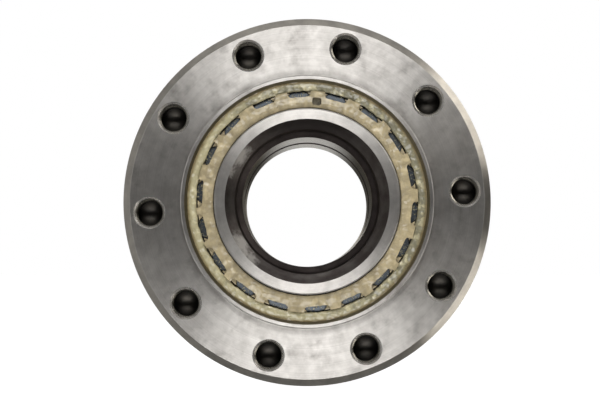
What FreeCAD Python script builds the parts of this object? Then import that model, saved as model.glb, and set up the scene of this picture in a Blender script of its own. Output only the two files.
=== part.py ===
"""Flanged wheel hub bearing unit of a heavy axle.

Two rows of tapered rollers carry a turning outer ring, whose flange takes the wheel hub,
on two inner rings that sit side by side on the axle spindle. The rows lie back to back,
with the large roller ends outwards, and a cassette seal closes the inboard end.

Millimetres and degrees. The bearing axis is Y, the outboard side looks towards -Y, and Z is up.
The origin is on the axis, where the two inner rings meet.
"""

import FreeCAD
import Part
import math
import os

# Driving dimensions of the inner rings
bore_diameter = 82.0            # seat on the axle spindle
raceway_wall = 13.8             # bore to inner raceway, at the large roller ends
rib_height = 3.7                # rib that guides the large roller ends
small_rib_height = 1.2
small_rib_width = 2.8
outboard_tail = 36.5            # inner ring beyond the rollers, up to the seam
inboard_tail = 4.0
ring_edge = 0.8                 # chamfer on turned edges
mouth_edge_height = 10.75       # conical mouth of the outboard ring, above the bore
mouth_floor_height = 4.6
mouth_floor_rounding = 2.0
mouth_step_height = 3.6
mouth_cone_depth = 9.0
mouth_step_depth = 4.0
mouth_chamfer_depth = 3.0
rear_bore_chamfer = 2.0

# Rollers
roller_diameter = 17.0          # at the large end
roller_span = 29.0              # length of a roller along the bearing axis
roller_tilt = 15.0              # between a roller's axis and the bearing axis
roller_edge = 0.7
roller_dimple_diameter = 6.0
roller_dimple_depth = 0.5
cage_bar = 4.5                  # least room for a cage bar between two rollers
roller_angle = 14.5             # first roller of each row, from +X towards +Z

# Cages
cage_setback = 6.0              # outboard inner ring's face to the cage
cage_front = 6.0                # cage's face to the centre of a large roller end
cage_bar_inside = 0.6           # bars run from here to here outside the roller axes
cage_bar_outside = 4.0
cage_rim_outside = 2.8           # front ring, outside the centres of the large roller ends
cage_rib_gap = 0.7
cage_small_ring_width = 3.6
cage_small_ring_inside = 3.0
cage_edge = 1.0
cage_notch_bar = 4              # the notch is over this bar, counted from the first roller
cage_notch_width = 6.0
cage_notch_depth = 4.0
cage_notch_height = 5.0

# Outer ring
section_height = 39.0           # bore seat to the centring collar's outside
collar_setback = 7.0            # outboard inner ring's face to the collar's face
collar_height = 6.6             # collar's face to the flange's face
collar_wall = 4.3
collar_chamfer = 1.8
collar_edge = 0.6
bolt_circle_margin = 20.0       # collar to bolt circle
flange_margin = 16.5            # bolt circle to rim
flange_thickness = 32.0
flange_chamfer_height = 4.3
flange_chamfer_depth = 3.0
flange_back_chamfer = 2.0
flange_back_fillet = 9.0
barrel_step = 4.0               # barrel beyond the collar's radius
raceway_run_out = 1.7           # raceway beyond the large roller ends
centre_land_height = 5.8        # centre land above the centres of the small roller ends
rear_setback = 2.5              # inboard inner ring's face to the outer ring
seal_shoulder = 2.3
rear_edge = 1.0

# Tapped holes in the flange
bolt_count = 10
bolt_angle = 3.9                # first hole, from +X towards +Z
tap_drill_diameter = 16.5       # for a metric 18 x 1.5 thread
tap_depth = 24.0
drill_point_angle = 118.0
countersink_width = 2.0

# Clamp ring at the seam
clamp_ring_width = 15.0
clamp_ring_recess = 0.6         # bore to the clamp ring's inside
clamp_ring_sheet = 0.9
clamp_ring_hook = 0.9
clamp_ring_hook_width = 1.2

# Inboard cassette seal
seal_setback = 3.0              # inboard inner ring's face to the seal
seal_width = 9.4
seal_to_cage = 1.1
seal_sheet = 1.2
seal_flinger_gap = 0.8          # flinger's rim to the case
seal_case_lead = 0.4
seal_web_height = 9.0
seal_lip_height = 2.2
seal_lip_reach = 3.4
seal_lip_head = 3.4
seal_lip_neck = 1.8
seal_rubber_coat = 0.8
seal_face_lip_height = 4.6
seal_face_lip = 0.7
garter_spring_diameter = 1.6

# Tone ring of the wheel speed sensor
tone_ring_seat_step = 2.0
tone_ring_width = 10.0
tone_ring_height = 10.0
tone_ring_setback = 1.5
tone_count = 100
tone_slot_share = 0.5           # of the pitch
tone_slot_depth = 5.0
tone_slot_height = 7.0

# Clearances
raceway_clearance = 0.12
rib_clearance = 0.12
roller_end_play = 0.5
pocket_clearance = 0.35
lip_clearance = 0.2
clip_clearance = 0.05
garter_clearance = 0.15

# Sizes worked out from them
bore_radius = bore_diameter / 2
tilt = math.radians(roller_tilt)
roller_radius = roller_diameter / 2
roller_length = roller_span / math.cos(tilt)
roller_circle = bore_radius + raceway_wall + roller_radius * math.cos(tilt)
# the roller cones and both raceways meet in one point on the bearing axis
roller_taper = math.atan(roller_radius * math.sin(tilt) / roller_circle)
roller_small_radius = roller_radius - roller_length * math.tan(roller_taper)
roller_count = int(math.pi / math.asin((roller_radius + cage_bar / 2) / roller_circle))

inboard_setback = seal_setback + seal_width + seal_to_cage + cage_front
outboard_setback = cage_setback + cage_front
outboard_ring_width = outboard_setback + roller_span + outboard_tail
inboard_ring_width = inboard_setback + roller_span + inboard_tail

rib_radius = bore_radius + raceway_wall + rib_height
collar_radius = bore_radius + section_height
bolt_circle = collar_radius + bolt_circle_margin
flange_radius = bolt_circle + flange_margin
barrel_radius = collar_radius + barrel_step
tone_seat_radius = barrel_radius - tone_ring_seat_step
centre_land = roller_circle - roller_length * math.sin(tilt) + centre_land_height
flange_face = collar_setback + collar_height
clamp_outside = bore_radius + clamp_ring_recess + clamp_ring_sheet

bearing_axis = FreeCAD.Vector(0, 1, 0)
origin = FreeCAD.Vector(0, 0, 0)


class End:
    """One end of the unit. Depths run inwards from the face of its inner ring."""

    def __init__(self, name, face, inwards, setback):
        self.name = name
        self.face = face
        self.inwards = inwards
        self.setback = setback

    def place(self, depth):
        return self.face + self.inwards * depth

    def profile(self, points):
        return [(self.place(point[0]), *point[1:]) for point in points]


outboard = End("outboard", -outboard_ring_width, 1, outboard_setback)
inboard = End("inboard", inboard_ring_width, -1, inboard_setback)


def beside_roller(end, along, out):
    """Depth and radius of a point along a roller's axis from its large end, and out from it."""
    depth = end.setback + along * math.cos(tilt) + out * math.sin(tilt)
    radius = roller_circle - along * math.sin(tilt) + out * math.cos(tilt)
    return depth, radius


def outer_raceway(end, depth):
    """Radius of the outer raceway at a depth."""
    start, radius = beside_roller(end, 0, roller_radius + raceway_clearance)
    return radius - (depth - start) * math.tan(tilt + roller_taper)


def outline(points):
    """Closed wire through (place on the axis, radius), with a third value for a rounded corner."""
    corners = [FreeCAD.Vector(point[1], point[0], 0) for point in points]
    edges = []
    ends = []
    for index, point in enumerate(points):
        corner = corners[index]
        before = corners[index - 1] - corner
        after = corners[(index + 1) % len(points)] - corner
        if len(point) < 3:
            ends.append((corner, corner))
            continue
        before.normalize()
        after.normalize()
        half = before.getAngle(after) / 2
        start = corner + before * (point[2] / math.tan(half))
        finish = corner + after * (point[2] / math.tan(half))
        inwards = (before + after).normalize()
        middle = corner + inwards * (point[2] / math.sin(half) - point[2])
        ends.append((start, finish))
        edges.append(Part.Arc(start, middle, finish).toShape())
    for index, (start, finish) in enumerate(ends):
        edges.append(Part.LineSegment(finish, ends[(index + 1) % len(ends)][0]).toShape())
    return Part.Wire(Part.__sortEdges__(edges))


def turned(points):
    """Solid turned about the bearing axis from an outline."""
    solid = Part.Face(outline(points)).revolve(origin, bearing_axis, 360)
    return solid if solid.Volume > 0 else solid.reversed()


def across(angle):
    """Direction away from the bearing axis at an angle from +X towards +Z."""
    return FreeCAD.Vector(math.cos(angle), 0, math.sin(angle))


def clamp_groove(end, width):
    """Bore side of an inner ring at the seam, where the clamp ring hooks in, ending at the bore."""
    relief = clamp_outside + clip_clearance
    hook = relief + clamp_ring_hook
    reach = clamp_ring_width / 2 + clip_clearance
    step = clamp_ring_width / 2 - clamp_ring_hook_width - clip_clearance
    return [
        (width, relief),
        (width - step, relief),
        (width - step, hook),
        (width - reach, hook),
        (width - reach, bore_radius),
    ]


def raceway_side(end, width):
    """Outside of an inner ring, from its face over the rib and the raceway to the seam."""
    floor = raceway_clearance
    rib_lean = rib_height / math.cos(tilt)
    large = beside_roller(end, -rib_clearance, -roller_radius - floor)
    rib_top = beside_roller(end, -rib_clearance, -roller_radius - floor + rib_lean)
    small_end = roller_length + roller_end_play - rib_clearance
    small = beside_roller(end, small_end, -roller_small_radius - floor)
    small_top = beside_roller(end, small_end, -roller_small_radius - floor + small_rib_height)
    land = small[1] - floor
    return [
        (0, rib_radius - ring_edge),
        (ring_edge, rib_radius),
        (rib_top[0], rib_radius),
        large,
        small,
        small_top,
        (small_top[0] + small_rib_width, small_top[1]),
        (small_top[0] + small_rib_width + small_rib_height, land),
        (width - ring_edge, land),
        (width, land - ring_edge),
    ]


def outboard_inner_ring():
    width = outboard_ring_width
    mouth = [
        (mouth_cone_depth + mouth_step_depth + mouth_chamfer_depth, bore_radius),
        (mouth_cone_depth + mouth_step_depth, bore_radius + mouth_step_height),
        (mouth_cone_depth, bore_radius + mouth_floor_height, mouth_floor_rounding),
        (0, bore_radius + mouth_edge_height),
    ]
    points = raceway_side(outboard, width) + clamp_groove(outboard, width) + mouth
    return turned(outboard.profile(points))


def inboard_inner_ring():
    width = inboard_ring_width
    mouth = [
        (rear_bore_chamfer, bore_radius),
        (0, bore_radius + rear_bore_chamfer),
    ]
    points = raceway_side(inboard, width) + clamp_groove(inboard, width) + mouth
    return turned(inboard.profile(points))


def clamp_ring():
    """Thin ring across the seam, with a hook at each end."""
    half = clamp_ring_width / 2
    inside = bore_radius + clamp_ring_recess
    hook = clamp_outside + clamp_ring_hook
    return turned([
        (-half, inside),
        (-half, hook),
        (clamp_ring_hook_width - half, hook),
        (clamp_ring_hook_width - half, clamp_outside),
        (half - clamp_ring_hook_width, clamp_outside),
        (half - clamp_ring_hook_width, hook),
        (half, hook),
        (half, inside),
    ])


def pocket_form():
    """Block that clears one roller of a cage's bars. Its sides are flat and taper with the roller."""
    large = roller_radius + pocket_clearance
    small = roller_small_radius + pocket_clearance
    far = roller_length + pocket_clearance
    corners = [
        FreeCAD.Vector(0, -large, -pocket_clearance),
        FreeCAD.Vector(0, large, -pocket_clearance),
        FreeCAD.Vector(0, small, far),
        FreeCAD.Vector(0, -small, far),
    ]
    face = Part.Face(Part.makePolygon(corners + corners[:1]))
    return face.extrude(FreeCAD.Vector(-roller_radius, 0, 0))


def seated(end, shape, angle):
    """Copy of a shape moved from the Z axis to a roller axis, with its +X side towards the bore."""
    depth, radius = beside_roller(end, 0, 0)
    large_end = across(angle) * radius + bearing_axis * end.place(depth)
    axis = bearing_axis * (end.inwards * math.cos(tilt)) - across(angle) * math.sin(tilt)
    towards_bore = bearing_axis * (-end.inwards * math.sin(tilt)) - across(angle) * math.cos(tilt)
    turn = FreeCAD.Rotation(towards_bore, FreeCAD.Vector(), axis, "ZXY")
    copy = shape.copy()
    copy.Placement = FreeCAD.Placement(large_end, turn)
    return copy


def roller_form():
    """Tapered roller with broken edges and a turned dimple in its large end."""
    slope = math.tan(roller_taper)
    points = [
        (0, roller_dimple_diameter / 2),
        (0, roller_radius - roller_edge),
        (roller_edge, roller_radius - roller_edge * slope),
        (roller_length - roller_edge, roller_small_radius + roller_edge * slope),
        (roller_length, roller_small_radius - roller_edge),
        (roller_length, 0),
        (roller_dimple_depth, 0),
        (roller_dimple_depth, roller_dimple_diameter / 2),
    ]
    corners = [FreeCAD.Vector(radius, 0, along) for along, radius in points]
    face = Part.Face(Part.makePolygon(corners + corners[:1]))
    solid = face.revolve(origin, FreeCAD.Vector(0, 0, 1), 360)
    return solid if solid.Volume > 0 else solid.reversed()


def roller_place(number):
    """Angle round the unit of a roller, counted from 0, or of a bar where the number is a half."""
    return math.radians(roller_angle) + 2 * math.pi * number / roller_count


def roller_angles():
    return [roller_place(number) for number in range(roller_count)]


def cage(end):
    """Conical basket: a ring before the large roller ends, bars, and a ring behind the small ends."""
    play = pocket_clearance
    tail = roller_length + play / 2
    inside = rib_radius + cage_rib_gap
    face = end.setback - cage_front
    start = -play / 2
    shoulder = beside_roller(end, start, 0)
    outside = beside_roller(end, start, cage_rim_outside)[1]
    lean = math.tan(tilt)
    points = [
        (face, inside),
        (face, outside - cage_edge),
        (face + cage_edge, outside),
        beside_roller(end, start, cage_rim_outside),
        beside_roller(end, start, cage_bar_outside),
        beside_roller(end, tail + cage_small_ring_width, cage_bar_outside),
        beside_roller(end, tail + cage_small_ring_width, -cage_small_ring_inside),
        beside_roller(end, tail, -cage_small_ring_inside),
        beside_roller(end, tail, cage_bar_inside),
        beside_roller(end, start, cage_bar_inside),
        (shoulder[0] - (shoulder[1] - inside) * lean, inside),
    ]
    basket = turned(end.profile(points))
    basket = basket.cut([seated(end, pocket_form(), angle) for angle in roller_angles()])
    notch = Part.makeBox(cage_notch_height * 2, cage_notch_depth * 2, cage_notch_width)
    notch.translate(FreeCAD.Vector(
        outside - cage_notch_height,
        end.place(face) - cage_notch_depth,
        -cage_notch_width / 2,
    ))
    notch.rotate(origin, bearing_axis, -math.degrees(roller_place(cage_notch_bar - 0.5)))
    return basket.cut(notch)


def flanged_outer_ring():
    """Forging with the collar, flange, barrel and both outer raceways."""
    seat = collar_radius - collar_wall
    roller_top = roller_radius * math.sin(tilt)
    mouth = outboard.setback + roller_top - raceway_run_out
    rear_mouth = inboard.setback + roller_top - raceway_run_out
    back = flange_face + flange_thickness
    small = beside_roller(outboard, roller_length, 0)[0] - outboard.setback

    def land_depth(end):
        depth = end.setback + small
        return depth + (outer_raceway(end, depth) - centre_land) / math.tan(tilt + roller_taper)

    seal_seat = outer_raceway(inboard, rear_mouth) + seal_shoulder
    tone_shoulder = rear_setback + tone_ring_setback + tone_ring_width
    outside = outboard.profile([
        (collar_setback, collar_radius - collar_edge),
        (collar_setback + collar_edge, collar_radius),
        (flange_face, collar_radius),
        (flange_face, flange_radius - flange_chamfer_height),
        (flange_face + flange_chamfer_depth, flange_radius),
        (back - flange_back_chamfer, flange_radius),
        (back, flange_radius - flange_back_chamfer),
        (back, barrel_radius, flange_back_fillet),
    ])
    rear = inboard.profile([
        (tone_shoulder, barrel_radius),
        (tone_shoulder, tone_seat_radius),
        (rear_setback + rear_edge, tone_seat_radius),
        (rear_setback, tone_seat_radius - rear_edge),
        (rear_setback, seal_seat + rear_edge),
        (rear_setback + rear_edge, seal_seat),
        (rear_mouth, seal_seat),
        (rear_mouth, outer_raceway(inboard, rear_mouth)),
        (land_depth(inboard), centre_land),
    ])
    front = outboard.profile([
        (land_depth(outboard), centre_land),
        (mouth, outer_raceway(outboard, mouth)),
        (mouth, seat),
        (collar_setback + collar_chamfer, seat),
        (collar_setback, seat + collar_chamfer),
    ])
    holes = [tapped_hole(index) for index in range(bolt_count)]
    return turned(outside + rear + front).cut(holes)


def tapped_hole(index):
    """Tool for one blind tapped hole with its drill point and countersink."""
    radius = tap_drill_diameter / 2
    point = radius / math.tan(math.radians(drill_point_angle / 2))
    angle = math.radians(bolt_angle) + 2 * math.pi * index / bolt_count
    mouth = across(angle) * bolt_circle + bearing_axis * outboard.place(flange_face)
    drill = Part.makeCylinder(radius, tap_depth, mouth, bearing_axis)
    tip = Part.makeCone(radius, 0, point, mouth + bearing_axis * tap_depth, bearing_axis)
    sink = Part.makeCone(radius + countersink_width, radius, countersink_width, mouth, bearing_axis)
    return drill.fuse([tip, sink])


def seal_sizes():
    """Radii of the seal's seat in the outer ring and of the flinger's sleeve on the inner ring."""
    rear_mouth = inboard.setback + roller_radius * math.sin(tilt) - raceway_run_out
    seat = outer_raceway(inboard, rear_mouth) + seal_shoulder
    sleeve = rib_radius + seal_sheet
    return seat, sleeve


def seal_flinger():
    """Angle ring pressed on the inner ring, which throws dirt outwards."""
    seat, sleeve = seal_sizes()
    rim = seat - seal_sheet - seal_flinger_gap
    return turned(inboard.profile([
        (seal_setback, rib_radius),
        (seal_setback, rim),
        (seal_setback + seal_sheet, rim),
        (seal_setback + seal_sheet, sleeve),
        (seal_setback + seal_width, sleeve),
        (seal_setback + seal_width, rib_radius),
    ]))


def seal_case():
    """Angle ring pressed into the outer ring, which carries the rubber."""
    seat = seal_sizes()[0]
    web = seal_setback + seal_width
    return turned(inboard.profile([
        (seal_setback + seal_case_lead, seat - seal_sheet),
        (seal_setback + seal_case_lead, seat),
        (web, seat),
        (web, seat - seal_web_height),
        (web - seal_sheet, seat - seal_web_height),
        (web - seal_sheet, seat - seal_sheet),
    ]))


def garter_place():
    """Depth and radius of the garter spring's centre line."""
    sleeve = seal_sizes()[1]
    head = seal_setback + seal_width - seal_lip_reach
    depth = head - garter_spring_diameter / 2 + garter_clearance
    return depth, sleeve + lip_clearance + seal_lip_head


def seal_lip():
    """Rubber with a main lip on the flinger's sleeve and a face lip on its flange."""
    seat, sleeve = seal_sizes()
    web = seal_setback + seal_width
    web_edge = seat - seal_web_height
    face = web - seal_sheet
    tip = sleeve + lip_clearance
    spring_depth, spring_radius = garter_place()
    head = spring_depth - garter_spring_diameter / 2
    face_lip_end = seal_setback + seal_sheet + lip_clearance
    face_lip_root = web_edge + seal_lip_height
    rubber = turned(inboard.profile([
        (web, web_edge),
        (web, web_edge - seal_lip_neck),
        (spring_depth, tip),
        (head, tip + seal_rubber_coat),
        (head, spring_radius),
        (spring_depth + garter_spring_diameter, spring_radius),
        (face - seal_rubber_coat, web_edge),
        (face - seal_rubber_coat, face_lip_root),
        (face_lip_end, face_lip_root + seal_face_lip_height - seal_face_lip),
        (face_lip_end, face_lip_root + seal_face_lip_height),
        (face, face_lip_root + seal_rubber_coat),
        (face, web_edge),
    ]))
    groove = Part.makeTorus(
        spring_radius,
        garter_spring_diameter / 2 + garter_clearance,
        bearing_axis * inboard.place(spring_depth),
        bearing_axis,
    )
    return rubber.cut(groove)


def seal_spring():
    """Garter spring that presses the main lip on the sleeve."""
    depth, radius = garter_place()
    centre = bearing_axis * inboard.place(depth)
    return Part.makeTorus(radius, garter_spring_diameter / 2, centre, bearing_axis)


def tone_ring():
    """Ring with radial slots in its rear face, pressed on the barrel."""
    outside = tone_seat_radius + tone_ring_height
    front = rear_setback + tone_ring_setback
    ring = turned(inboard.profile([
        (front, tone_seat_radius),
        (front, outside - ring_edge),
        (front + ring_edge, outside),
        (front + tone_ring_width - ring_edge, outside),
        (front + tone_ring_width, outside - ring_edge),
        (front + tone_ring_width, tone_seat_radius),
    ]))
    width = tone_slot_share * 2 * math.pi * outside / tone_count
    slot = Part.makeBox(tone_slot_height * 2, tone_slot_depth * 2, width)
    slot.translate(FreeCAD.Vector(
        outside - tone_slot_height,
        inboard.place(front) - tone_slot_depth,
        -width / 2,
    ))
    slots = []
    for index in range(tone_count):
        copy = slot.copy()
        copy.rotate(origin, bearing_axis, 360 * index / tone_count)
        slots.append(copy)
    return ring.cut(slots)


def rollers(end):
    """Every roller of a row, under its own name."""
    form = roller_form()
    return {
        f"{end.name}_roller_{index + 1:02d}": seated(end, form, angle)
        for index, angle in enumerate(roller_angles())
    }


def nodes():
    made = {
        "flanged_outer_ring": flanged_outer_ring(),
        "outboard_inner_ring": outboard_inner_ring(),
        "inboard_inner_ring": inboard_inner_ring(),
        "clamp_ring": clamp_ring(),
        "outboard_cage": cage(outboard),
        "inboard_cage": cage(inboard),
        "seal_flinger": seal_flinger(),
        "seal_case": seal_case(),
        "seal_lip": seal_lip(),
        "seal_spring": seal_spring(),
        "tone_ring": tone_ring(),
    }
    made.update(rollers(outboard))
    made.update(rollers(inboard))
    return made


os.makedirs("parts", exist_ok=True)
for name, shape in nodes().items():
    shape.exportStep(f"parts/{name}.step")
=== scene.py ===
"""Looks of a flanged wheel hub bearing unit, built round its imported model.

Metres. The bearing axis is Y, the outboard side looks towards -Y, and Z is up.
An outline is a list of points (place on the axis, radius), with a third value for a rounded corner.
"""

import math
import random

import bpy
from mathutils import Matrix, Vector


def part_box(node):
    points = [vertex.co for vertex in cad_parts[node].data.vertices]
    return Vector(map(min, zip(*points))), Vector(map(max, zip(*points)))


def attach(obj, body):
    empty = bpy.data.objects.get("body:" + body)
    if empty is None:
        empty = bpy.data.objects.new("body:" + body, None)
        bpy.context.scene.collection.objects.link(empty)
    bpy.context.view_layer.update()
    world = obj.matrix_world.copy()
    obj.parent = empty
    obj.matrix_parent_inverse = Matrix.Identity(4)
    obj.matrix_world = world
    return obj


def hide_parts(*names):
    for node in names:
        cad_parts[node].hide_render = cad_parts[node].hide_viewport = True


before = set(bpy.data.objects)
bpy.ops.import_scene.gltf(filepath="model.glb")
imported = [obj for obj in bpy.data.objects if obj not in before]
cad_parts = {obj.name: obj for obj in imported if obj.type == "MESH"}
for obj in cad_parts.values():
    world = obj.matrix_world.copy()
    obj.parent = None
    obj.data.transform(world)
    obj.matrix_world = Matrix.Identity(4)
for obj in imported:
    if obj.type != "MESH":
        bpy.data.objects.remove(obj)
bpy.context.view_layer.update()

bl_info = {
    "name": "Wheel hub bearing",
    "version": (1, 0, 0),
    "blender": (4, 5, 0),
    "location": "3D View > Sidebar > Hub bearing",
    "description": "Turned rings, threads, grease, seal and finishes of a flanged hub bearing unit",
    "category": "Object",
}

MM = 0.001
WELD = 0.000002                 # points nearer than this are one
HAIR = 0.05 * MM                # slack where faces are picked by their place
SMALL_ROUNDING = 0.35 * MM      # anything smaller is drawn with fewer steps
SMOOTH_ANGLE = math.radians(32)
ROUGH_ANGLE = math.radians(60)  # for lumpy grease
outboard_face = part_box("outboard_inner_ring")[0].y
inboard_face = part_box("inboard_inner_ring")[1].y
collar_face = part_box("flanged_outer_ring")[0].y
rear_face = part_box("flanged_outer_ring")[1].y
flange_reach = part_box("flanged_outer_ring")[1].x


def length(name, value, about):
    return bpy.props.FloatProperty(
        name=name, description=about, default=value, unit="LENGTH", precision=5
    )


def turn(name, degrees, about):
    return bpy.props.FloatProperty(
        name=name, description=about, default=math.radians(degrees), subtype="ANGLE"
    )


def number(name, value, about):
    return bpy.props.IntProperty(name=name, description=about, default=value, min=1)


def share(name, value, about):
    return bpy.props.FloatProperty(
        name=name, description=about, default=value, min=0, max=1, subtype="FACTOR"
    )


def tint(name, value, about):
    return bpy.props.FloatVectorProperty(
        name=name, description=about, default=value, size=3, min=0, max=1, subtype="COLOR"
    )


class HubRollerSizes(bpy.types.PropertyGroup):
    """Sizes of the rollers and of the inner rings that they run on"""

    bore: length("Bore radius", 0.041, "Seat on the axle spindle")
    wall: length("Raceway wall", 0.0138, "Bore to inner raceway, at the large roller ends")
    rib: length("Rib height", 0.0037, "Rib that guides the large roller ends")
    small_rib: length("Small rib height", 0.0012, "Rib behind the small roller ends")
    small_rib_width: length("Small rib width", 0.0028, "Flat top of the small rib")
    roller: length("Roller radius", 0.0085, "At the large end")
    span: length("Roller span", 0.029, "Length of a roller along the bearing axis")
    tilt: turn("Roller tilt", 15, "Between a roller's axis and the bearing axis")
    count: number("Rollers", 18, "Rollers in one row")
    first: turn("First roller", 14.5, "From +X towards +Z")
    play: length("Running clearance", 0.00012, "Between rollers and raceways")
    outboard: length("Outboard setback", 0.012, "Ring face to the large roller ends")
    inboard: length("Inboard setback", 0.0195, "Ring face to the large roller ends")
    edge: length("Turned edge", 0.0008, "Broken edges of the inner rings")
    mouth_edge: length("Mouth edge height", 0.01075, "Conical mouth above the bore, at the face")
    mouth_floor: length("Mouth floor height", 0.0046, "Foot of the cone above the bore")
    mouth_step: length("Mouth step height", 0.0036, "Foot of the step above the bore")
    cone_depth: length("Cone depth", 0.009, "From the ring's face")
    step_depth: length("Step depth", 0.004, "Beyond the cone")
    chamfer_depth: length("Chamfer depth", 0.003, "Beyond the step")
    relief: length("Seam relief", 0.00155, "Groove for the clamp ring, above the bore")
    hook: length("Seam hook", 0.0009, "Deeper end of the groove")
    relief_reach: length("Seam groove reach", 0.00755, "From the seam to the groove's end")
    hook_reach: length("Seam hook reach", 0.00625, "From the seam to the deeper end")
    groove_edge: length("Groove edge", 0.0005, "Rounding where the groove meets the bore")
    end_play: length("Roller end play", 0.0005, "Room behind the small roller ends")
    mouth_rounding: length("Mouth floor rounding", 0.002, "At the foot of the cone")
    rear_chamfer: length("Rear bore chamfer", 0.002, "Inboard end of the bore")
    rounding: length("Ring rounding", 0.0002, "Small rounding on every turned edge")


class HubClampSizes(bpy.types.PropertyGroup):
    """Sizes of the thin ring that holds both inner rings together"""

    half: length("Half width", 0.0075, "From the seam to the ring's end")
    inside_hook: length("Inside the hooks", 0.0063, "From the seam to a hook")
    recess: length("Recess", 0.0006, "Bore to the ring's inside")
    sheet: length("Sheet", 0.0009, "Thickness of the pressed sheet")
    bend: length("Bend radius", 0.0004, "Inside edges at the ring's ends")
    inner_bend: length("Inner bend radius", 0.0002, "Corner between sheet and hook")
    edge: length("Sheet edge", 0.0001, "Rounding of the hooks")


class HubFlangeSizes(bpy.types.PropertyGroup):
    """Sizes of the flanged outer ring"""

    collar: length("Collar radius", 0.080, "Centres the wheel hub")
    collar_edge: length("Collar edge", 0.0006, "Chamfer on the collar's outer edge")
    collar_foot: length("Collar foot", 0.0004, "Rounding between collar and flange")
    mouth: length("Mouth radius", 0.0757, "Seat inside the collar")
    mouth_chamfer: length("Mouth chamfer", 0.0018, "Inside edge of the collar")
    mouth_floor: length("Mouth floor", -0.0650, "Place of the shoulder behind the mouth")
    raceway_mouth: length("Raceway mouth", 0.07187, "Radius of the raceways at their wide ends")
    land: length("Centre land", 0.06104, "Between the raceways")
    land_front: length("Centre land front", -0.02959, "Where the outboard raceway ends")
    land_rear: length("Centre land rear", -0.00291, "Where the inboard raceway ends")
    face: length("Flange face", -0.0639, "Place of the bolted face")
    back: length("Flange back", -0.0319, "Place of the rear face")
    chamfer_height: length("Rim chamfer height", 0.0043, "On the flange face")
    chamfer_depth: length("Rim chamfer depth", 0.003, "Along the rim")
    back_chamfer: length("Rear rim chamfer", 0.002, "On the flange's rear")
    barrel: length("Barrel radius", 0.084, "Behind the flange")
    fillet: length("Barrel fillet", 0.009, "Between flange and barrel")
    tone_seat: length("Tone ring seat", 0.082, "Turned end of the barrel")
    tone_shoulder: length("Tone ring shoulder", 0.0385, "Place of the shoulder")
    seal_seat: length("Seal seat", 0.07417, "Radius of the seal's seat")
    seal_floor: length("Seal floor", 0.0325, "Place of the seat's inner end")
    edge: length("Rear edge", 0.001, "Broken edges at the rear")
    rounding: length("Edge rounding", 0.00025, "Small rounding on every turned edge")


class HubHoleSizes(bpy.types.PropertyGroup):
    """Sizes of the tapped holes"""

    count: number("Holes", 10, "Tapped holes in the flange")
    first: turn("First hole", 3.9, "From +X towards +Z")
    circle: length("Bolt circle radius", 0.100, "Centres of the holes")
    drill: length("Tap drill radius", 0.00825, "Crests of the thread")
    root: length("Thread root radius", 0.0090, "Wall behind the thread")
    sink: length("Countersink radius", 0.01025, "At the flange face")
    pitch: length("Thread pitch", 0.0015, "Along the hole")
    foot: share("Thread foot", 0.46, "Half width of a thread's foot, as a share of the pitch")
    crest: share("Thread crest", 0.10, "Half width of a thread's crest, as a share of the pitch")
    start: bpy.props.FloatProperty(
        name="Thread start", description="Turn from one hole's thread to the next", default=2.4,
        subtype="ANGLE",
    )
    thread: length("Thread depth", 0.0195, "From the flange face")
    depth: length("Drill depth", 0.024, "To the end of the straight wall")
    point: turn("Drill point", 118, "Angle of the drill's tip")


class HubSealSizes(bpy.types.PropertyGroup):
    """Sizes of the rear seal's flinger"""

    face: length("Seal face", 0.0495, "Place of the flinger's outside")
    width: length("Seal width", 0.0094, "Along the axis")
    sheet: length("Sheet", 0.0012, "Thickness of the pressed sheet")
    rim: length("Flinger rim", 0.07217, "Radius of the flinger's rim")
    bend: length("Bend radius", 0.0012, "Outside of the sheet's bend")
    edge: length("Sheet edge", 0.0003, "Rounding of the sheet's ends")
    inner_bend: length("Inner bend radius", 0.0004, "Inside of the sheet's bend")


class HubGreaseSizes(bpy.types.PropertyGroup):
    """Sizes of the grease left in the outboard mouth"""

    inside: length("Inside", 0.0592, "Next to the inner ring")
    outside: length("Outside", 0.0659, "Edge over the cage's rim")
    cage_face: length("Cage face", -0.0715, "Place of the cage's face")
    depth: length("Layer", 0.0007, "Thickness on the cage's face")
    skirt: length("Skirt", 0.0023, "How far it hangs over the cage's rim")
    bridge: length("Bridge reach", 0.0041, "Bridges that reach out between the rollers")
    window: length("Window", 0.0168, "Bare width in front of a roller")
    bed_depth: length("Bed depth", 0.0043, "From the cage's face to the grease between the rollers")
    notch: turn("Notch", 84.5, "Place of the cage's tool notch")
    notch_width: length("Notch width", 0.0058, "Round the cage")
    notch_height: length("Notch height", 0.0048, "Across the cage's rim")
    wall_inside: length("Wall inside", 0.0697, "Edge of the grease on the outer ring")
    lumps: length("Cage lumps", 0.0009, "Height of the lumps over the cage")
    ripples: length("Cage ripples", 0.0002, "Height of the ripples over the cage")
    bed_lumps: length("Bed lumps", 0.0003, "Height of the lumps between the rollers")
    wall_lumps: length("Wall lumps", 0.0013, "Height of the lumps on the outer ring")
    wall_ripples: length("Wall ripples", 0.00025, "Height of the ripples on the outer ring")
    lump_size: length("Lump size", 0.0045, "Width of the lumps")
    ripple_size: length("Cage ripple size", 0.0018, "Width of the ripples over the cage")
    wall_ripple_size: length("Wall ripple size", 0.0015, "Width of the ripples on the outer ring")
    facet: length("Facet", 0.0006, "Longest run of the grease's outline")
    cut: length("Cut", 0.010, "Depth of the blocks that cut windows and notch")
    seed: number("Seed", 7, "Choice of lumps")


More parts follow.
